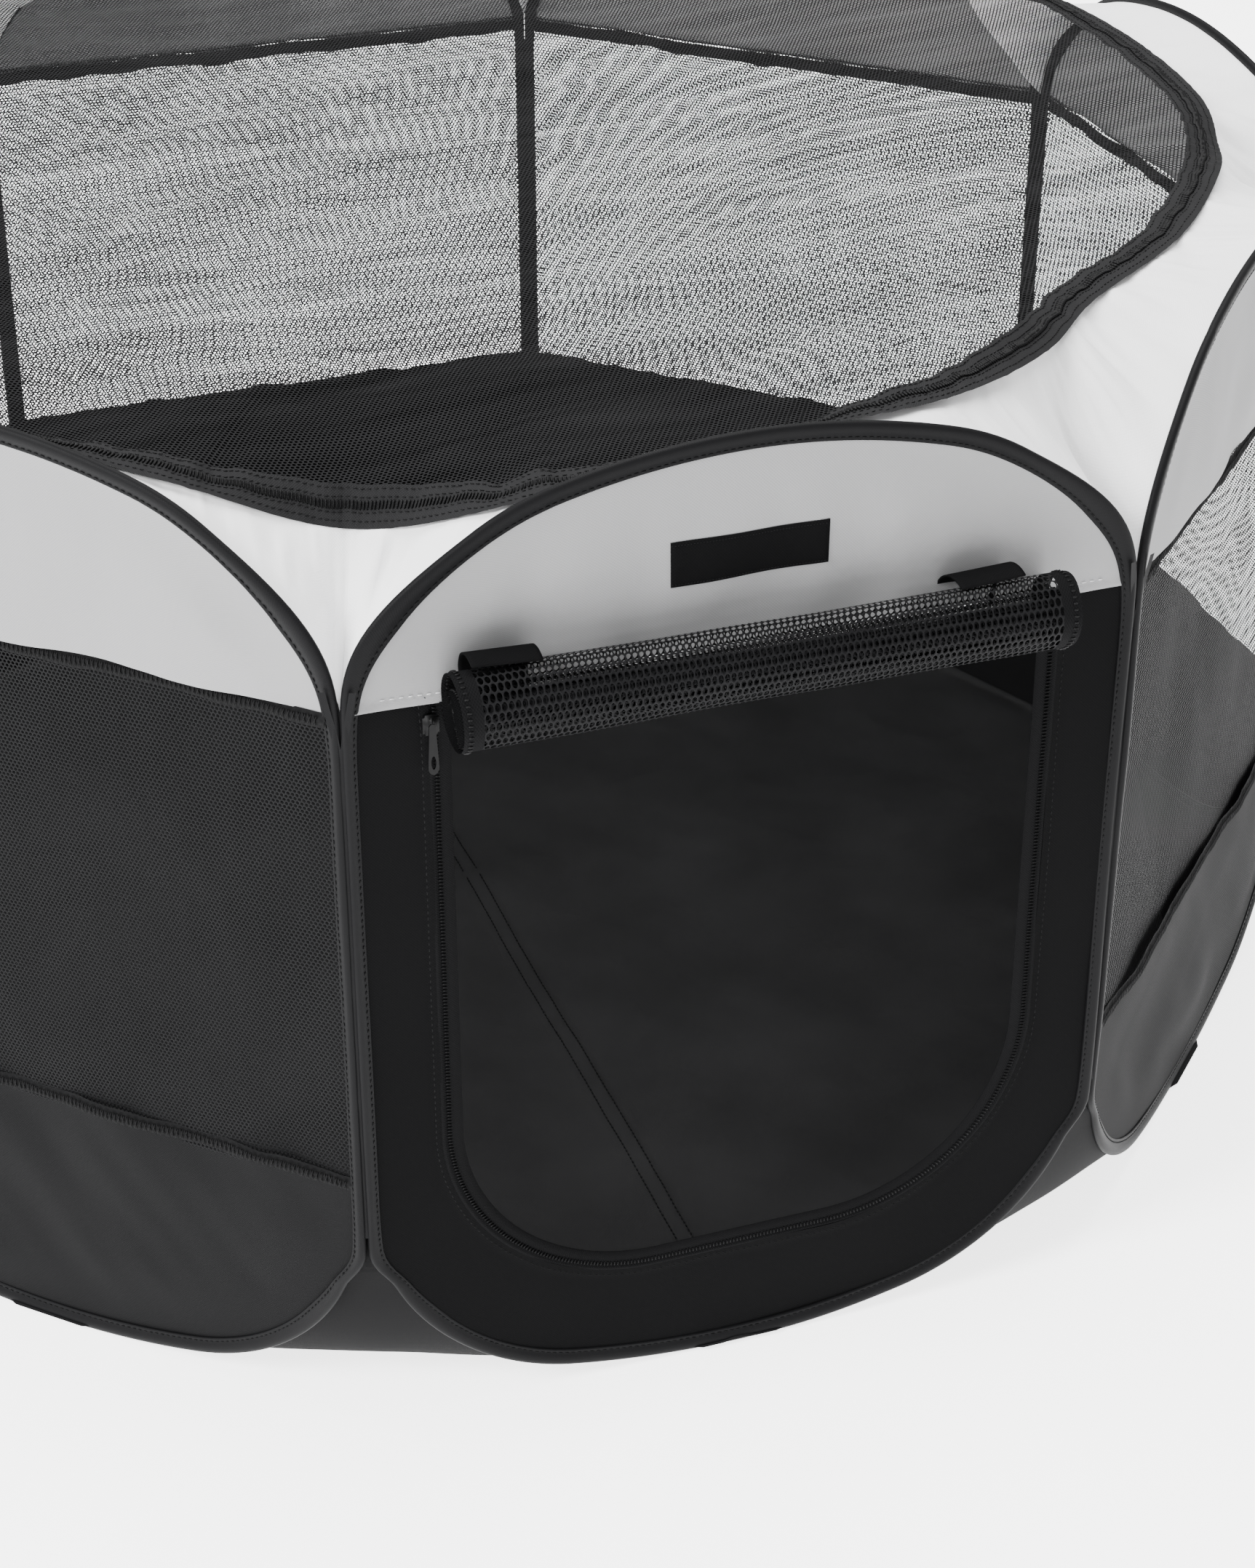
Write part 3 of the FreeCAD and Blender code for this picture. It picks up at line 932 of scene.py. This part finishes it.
def ring_line():
    """The zip ring's outer edge as a smooth closed line, with the tapes' tilt."""
    controls = ring_controls()
    n = len(controls)
    pts = []
    tilts = []
    for k in range(PANELS * RING_PER):
        x = k / RING_PER * 4
        a = int(x)
        g = x - a
        quad = [controls[(a + d) % n] for d in (-1, 0, 1, 2)]
        pts.append(spline(*[q[0] for q in quad], g))
        tilts.append(lerp(quad[1][1], quad[2][1], smooth(g)))
    return pts, tilts


RING, TILTS = ring_line()


def ring_frame(x):
    """Point, and directions along, across and up from the tapes, at x samples from corner 0."""
    n = len(RING)
    a = int(math.floor(x))
    g = x - a
    p = RING[a % n].lerp(RING[(a + 1) % n], g)
    t = RING[(a + 3) % n] - RING[(a - 2) % n]
    t.z = 0
    t.normalize()
    inward = Vector((-t.y, t.x, 0))
    if inward.dot(p) > 0:
        inward = -inward
    tilt = math.radians(lerp(TILTS[a % n], TILTS[(a + 1) % n], g) + 7 * rumple(x * 0.25, 4.0))
    across = inward * math.cos(tilt) + Vector((0, 0, math.sin(tilt)))
    up = across.cross(t)
    return p, t, across, up if up.z > 0 else -up


def ring_point(x, e):
    """Surface of the two zip tapes and what lies between, e across from the ring's outer edge."""
    p, _, across, up = ring_frame(x)
    wave = rumple(x * 0.33, 2.0, 0.0) * 0.0016 * smooth(e / 0.01) + rumple(x * 0.9, e * 60, 3.0) * 0.0008
    side = rumple(x * 0.21, 8.0) * 0.0022
    return p + across * (e + side * smooth(e / 0.004)) + up * wave


def arch_steps(count):
    """Values of u evenly spaced along the arch, from one V to the other."""
    dense = [lerp(-WEB_FROM, WEB_FROM, k / DENSE_STEPS) for k in range(DENSE_STEPS + 1)]
    marks = lengths([(u, top_edge(u)) for u in dense])
    out = []
    j = 0
    for k in range(count + 1):
        while j < DENSE_STEPS - 1 and marks[j + 1] < marks[-1] * k / count:
            j += 1
        out.append(dense[j])
    return out


ARCH_U = arch_steps(ARCH_STEPS)


def arch_point(i, g):
    """Point behind the arch of panel i, g from 0 at its left V to 1 at its right V."""
    g = max(0.0, min(1.0, g))
    x = g * ARCH_STEPS
    a = min(ARCH_STEPS - 1, int(x))
    u = lerp(ARCH_U[a], ARCH_U[a + 1], x - a)
    p = at(i, u, -BEHIND, top_edge(u) - 0.005)
    near = smooth(1 - min(g, 1 - g) / 0.03)
    if near > 0:
        k = i if g < 0.5 else (i + 1) % PANELS
        c = corner_angle(k)
        apex = Vector((math.cos(c), math.sin(c), 0)) * (at(0, HALF_W, -BEHIND, 0).xy.length)
        p = p.lerp(Vector((apex.x, apex.y, p.z)), near)
    return p


def top_webs():
    """White cloth from the arches to the zip ring, a share for each panel."""
    for i in range(PANELS):
        def f(s, v, i=i):
            g = (s - i * RING_PER) / RING_PER
            b = arch_point(i, g)
            r = ring_point(s, 0.0050) - Vector((0, 0, 0.0022))
            p = b.lerp(r, v)
            side = min(max(g, 0), max(1 - g, 0))
            room = (r - b).length
            belly = 4 * max(0.0, v) * max(0.0, 1 - v)
            k = i if g < 0.5 else i + 1
            ray = side * (1 if g < 0.5 else -1)
            fold = rumple(ray * 15, v * 0.8, (k % PANELS) * 2.3) * 0.0075
            fold += rumple(ray * 52, v * 2.2, (k % PANELS) * 1.7 + 5) * 0.0016
            out = Vector((b.x, b.y, 0)).normalized() + Vector((0, 0, 0.8))
            return p + out * (fold - 0.004) * belly * min(1.0, room / 0.07)

        span = (i * RING_PER, (i + 1) * RING_PER)
        obj = grid("top_web_%d" % i, f, span, (0, 1), 110, 22, WEB_CLOTH, i,
                   uv=(0.005, 0.1))
        deep = run([f(span[0], j / 20) for j in range(21)])
        squash_to(obj, i)
        if i == 0:
            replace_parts(obj, "top_webs")


def zip_ring():
    """The cover's zip: two tapes, the coil between them, and four rows of stitches."""
    seam = TAPE + COIL * 0.5
    for i in range(PANELS):
        span = (i * RING_PER, (i + 1) * RING_PER)
        for kind, low, high in (("top", -0.002, seam), ("cover", seam, RING_W)):
            obj = grid("%s_zip_tape_%d" % (kind, i), ring_point, span, (low, high), RING_PER, 9, TAPE_CLOTH,
                       i, uv=(0.005, 1))
            squash_to(obj, i)
            if i == 0:
                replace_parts(obj, kind + "_zip_tape")
        grains = []
        for x in spread(*span, 200):
            _, t, across, up = ring_frame(x)
            for e in (TAPE + 0.0018, TAPE + COIL - 0.0018):
                grains.append((ring_point(x, e) + up * 0.0002, across * 0.0020, t * 0.00065, up * 0.0014))
        for e in (0.0022, TAPE - 0.0016, TAPE + COIL + 0.0016, RING_W - 0.0022):
            for x in spread(*span, 110):
                _, t, across, up = ring_frame(x)
                grains.append((ring_point(x, e) + up * 0.0002, t * 0.0013, across * 0.00035, up * 0.0005))
        coil = sew("top_zip_coil_%d" % i, grains, COIL_NYLON, i)
        squash_to(coil, i)


def cover_point(x, r):
    """Net cover: r from 1 at the zip to 0 at the middle."""
    edge = ring_point(x, RING_W - 0.003)
    r = max(0.0, r)
    p = Vector((edge.x * r, edge.y * r, 0))
    sag = 0.006 * smooth((1 - r) * 1.5)
    long = rumple(p.x * 4 + p.y * 3, p.y * 13 - p.x * 4, 0.0, 3.0) * 0.0050
    short = rumple(p.x * 17 + p.y * 9, p.y * 40 - p.x * 9, 2.0, 6.0) * 0.0016
    flat = smooth((1 - r) / 0.08)
    p.z = lerp(0.588, edge.z, r ** 5) - sag * flat + (long + short) * flat
    return p


def cover():
    """The net cover, a sector for each panel."""
    for i in range(PANELS):
        span = (i * RING_PER, (i + 1) * RING_PER)
        obj = grid("cover_net_%d" % i, cover_point, span, (0.0, 1.0), 48, 60, TOP_NET, i,
                   uv=lambda p: (p.x, p.y))
        squash_to(obj, i)
        if i == 0:
            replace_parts(obj, "cover_mesh")


# -------- floor
def floor_height(x, y):
    """The floor cloth's upper side, rumpled on the ground."""
    slow = rumple(x * 5, y * 5, 0, 11.0) * 0.0050 + rumple(x * 13, y * 11, 1, 4.0) * 0.0026
    fine = rumple(x * 34 + y * 10, y * 30, 2, 2.0) * 0.0009
    ridge = abs(rumple(x * 8 + y * 5, y * 9 - x * 3, 4, 9.0)) * 0.0035
    return max(0.0026, 0.0068 + slow + fine - ridge)


def floor_edge(i, a):
    """Outer edge of the floor at angle a (from -1 to 1 over panel i's share)."""
    leave = 0.024
    mid = at(i, leave * max(-1, min(1, a * 4)), -BEHIND, 0)
    way = 1 if a > 0 else -1
    corner = at(i, way * leave, -BEHIND, 0) + at((i + way) % PANELS, -way * leave, -BEHIND, 0)
    return mid.lerp(corner / 2, max(0.0, abs(a) - 0.25) / 0.75)


def floor_sheets():
    """The floor, a sector for each panel, with the double row of stitches down its middle."""
    for i in range(PANELS):
        def f(s, t, i=i):
            e = floor_edge(i, s)
            p = Vector((e.x * t, e.y * t, 0))
            rim = smooth((1 - t) / 0.07)
            p.z = lerp(0.0032, floor_height(p.x, p.y), rim)
            p.z += 0.0012 * smooth(1.3 - abs(p.x) / 0.009)
            return p

        obj = grid("floor_cloth_%d" % i, f, (-1, 1), (0.0, 1.012), 72, 73, FLOOR_CLOTH, i,
                   uv=lambda p: (p.x, p.y))
        squash_to(obj, i)
        if i == 0:
            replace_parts(obj, "floor_sheet")
    for i, way in ((0, -1), (4, 1)):
        grains = []
        for x in (-0.0052, 0.0052):
            for reach in spread(0.004, 0.535, 130):
                y = way * reach
                c = Vector((x, y, floor_height(x, y) + 0.0016))
                grains.append((c, Vector((0, 0.0016, 0)), Vector((0.0005, 0, 0)), Vector((0, 0, 0.0006))))
        sewn = sew("floor_seam_%d" % i, grains, THREAD_DARK, i)
        squash_to(sewn, i)


def floor_web_point(k, v, t):
    """Floor web under corner k: v from 0 at the V to 1 on the ground."""
    left = (k - 1) % PANELS
    v = max(0.0, min(1.07, v))
    u = lerp(SEAM_U, 0.024, v ** 0.9)
    z = foot_edge(u) + 0.0045
    a = at(left, u, -BEHIND, z)
    b = at(k, -u, -BEHIND, z)
    p = a.lerp(b, (t + 1) / 2)
    bow = 1 - t * t
    chord = (b - a).length
    p.z -= 0.25 * max(0, z - 0.004) * bow * smooth(v * 2) * 0.5
    p.z += rumple(t * 8 * chord + k * 2.3, v * 3, k) * 0.003 * bow * (1 - v)
    p.z = max(p.z, 0.0024)
    return p


def floor_webs():
    """The corner webs, each in two halves that ride on their own panels."""
    for k in range(PANELS):
        for side, panel in ((-1, (k - 1) % PANELS), (1, k)):
            span = (-1, 0) if side < 0 else (0, 1)
            obj = grid("floor_web_%d_%s" % (k, "ab"[side > 0]), lambda s, t: floor_web_point(k, t, s), span,
                       (0, 1.05), 20, 31, DARK_CLOTH, panel, uv=(0.18, 0.3))
            long = run([floor_web_point(k, j / 20, side) for j in range(21)])
            squash_to(obj, panel)
            if k == 0 and side < 0:
                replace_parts(obj, "floor_webs")


# -------- sliders and pulls
def soft_box(name, low, high, round_by, body):
    """A box with rounded edges."""
    bm = bmesh.new()
    bmesh.ops.create_cube(bm, size=1.0)
    for v in bm.verts:
        for k in range(3):
            v.co[k] = lerp(low[k], high[k], v.co[k] + 0.5)
    bmesh.ops.bevel(bm, geom=bm.edges[:], offset=round_by, segments=3, affect="EDGES")
    bm.verts.index_update()
    verts = [v.co.copy() for v in bm.verts]
    faces = [tuple(v.index for v in face.verts) for face in bm.faces]
    bm.free()
    return build(name, verts, faces, SLIDER_PAINT, body)


def pull_tab(name, low, high, thin, long_axis, body):
    """A flat pull in the box low to high, with a hole through axis thin near the low end of long_axis."""
    wide = [k for k in range(3) if k not in (thin, long_axis)][0]
    length = high[long_axis] - low[long_axis]
    half = (high[wide] - low[wide]) / 2
    n = 28
    turns = [2 * math.pi * k / n for k in range(n)]
    outer = []
    for a in turns:
        x = 0.5 + 0.5 * math.cos(a)
        shape = half * (0.62 + 0.38 * smooth(x))
        outer.append((x * length, max(-shape, min(shape, math.sin(a) * half * 1.7))))
    inner = [(length * (0.76 + math.cos(a) * 0.13), math.sin(a) * half * 0.45) for a in turns]
    verts = []
    faces = []
    for depth in (low[thin], high[thin]):
        for loop in (outer, inner):
            for along, across in loop:
                co = [0, 0, 0]
                co[thin] = depth
                co[wide] = (low[wide] + high[wide]) / 2 + across
                co[long_axis] = high[long_axis] - along
                verts.append(Vector(co))
    for k in range(n):
        m = (k + 1) % n
        faces.append((k, m, n + m, n + k))
        faces.append((2 * n + k, 3 * n + k, 3 * n + m, 2 * n + m))
        faces.append((k, 2 * n + k, 2 * n + m, m))
        faces.append((n + k, n + m, 3 * n + m, 3 * n + k))
    obj = build(name, verts, faces, SLIDER_PAINT, body)
    for p in obj.data.polygons:
        p.use_smooth = False
    return obj


def sliders():
    """Both sliders with their pulls, in the boxes of the CAD pieces."""
    for place, thin, long_axis in (("door", 1, 2), ("top", 2, 1)):
        slider = place + "_slider"
        low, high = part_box(slider)
        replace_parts(soft_box(slider + "_body", low, high, 0.0014, slider), slider)
        if place == "door":
            middle = (low[0] + high[0]) / 2
            soft_box("door_slider_bridge", (middle - 0.0013, low[1] - 0.0012, high[2] - 0.0072),
                     (middle + 0.0013, low[1] + 0.001, high[2] - 0.0010), 0.0008, slider)
        pull = place + "_pull"
        low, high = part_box(pull)
        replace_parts(pull_tab(pull + "_tab", low, high, thin, long_axis, pull), pull)


# -------- everything
for i in range(PANELS):
    binding(i)
    upper_band(i)
    flange(i)
    if i:
        lower_band(i)
        window(i)
door_surround()
door_zip()
hem_stitches()
label_patch()
door_roll()
straps()
top_webs()
zip_ring()
cover()
floor_sheets()
floor_webs()
sliders()


# -------- ground, lights, camera
def ground():
    """The pale floor that the pen stands on."""
    m, nt, bsdf = new_material("pale_floor")
    n = node(nt, "ShaderNodeTexNoise")
    n.inputs["Scale"].default_value = 2
    shade = mix_colour(nt, n.outputs["Fac"], (0.93, 0.93, 0.93), (0.96, 0.96, 0.96))
    link(shade, bsdf.inputs["Base Color"])
    bsdf.inputs["Roughness"].default_value = 0.9
    bsdf.inputs["Emission Color"].default_value = (1, 1, 1, 1)
    bsdf.inputs["Emission Strength"].default_value = 3.2
    s = 14.0
    mesh = bpy.data.meshes.new("ground")
    mesh.from_pydata([(-s, -s, 0), (s, -s, 0), (s, s, 0), (-s, s, 0)], [], [(0, 1, 2, 3)])
    mesh.materials.append(m)
    add_object("ground", mesh)


LIGHT_AIM = Vector((0, 0, 0.3))


def area_light(name, place, size, power):
    """A rectangular light aimed at the pen's middle."""
    data = bpy.data.lights.new(name, "AREA")
    data.shape = "RECTANGLE"
    data.size = size[0]
    data.size_y = size[1]
    data.energy = power
    obj = add_object(name, data)
    obj.location = place
    obj.rotation_euler = (LIGHT_AIM - Vector(place)).to_track_quat("-Z", "Y").to_euler()


ground()
world = bpy.data.worlds.new("studio")
bpy.context.scene.world = world
world.use_nodes = True
world.node_tree.nodes["Background"].inputs["Color"].default_value = (1, 1, 1, 1)
world.node_tree.nodes["Background"].inputs["Strength"].default_value = 0.8
area_light("key", (-3.1, -1.3, 2.7), (1.3, 1.3), 300)
area_light("top", (0.4, 0.6, 3.6), (3.0, 3.0), 260)
area_light("rim", (3.2, -0.6, 2.0), (1.6, 2.0), 12)

CAM_AT = Vector((-0.5646, -1.9438, 1.2829))
CAM_YAW = math.radians(-19.54)
CAM_PITCH = math.radians(30.63)
LENS = 72.4
level = math.cos(CAM_PITCH)
forward = Vector((-math.sin(CAM_YAW) * level, math.cos(CAM_YAW) * level, -math.sin(CAM_PITCH)))
right = Vector((math.cos(CAM_YAW), math.sin(CAM_YAW), 0))
up = right.cross(forward)
cam_data = bpy.data.cameras.new("view")
cam_data.lens = LENS
cam_data.sensor_width = 36.0
cam = add_object("view", cam_data)
cam.matrix_world = Matrix.Translation(CAM_AT) @ Matrix((right, up, -forward)).transposed().to_4x4()
bpy.context.scene.camera = cam
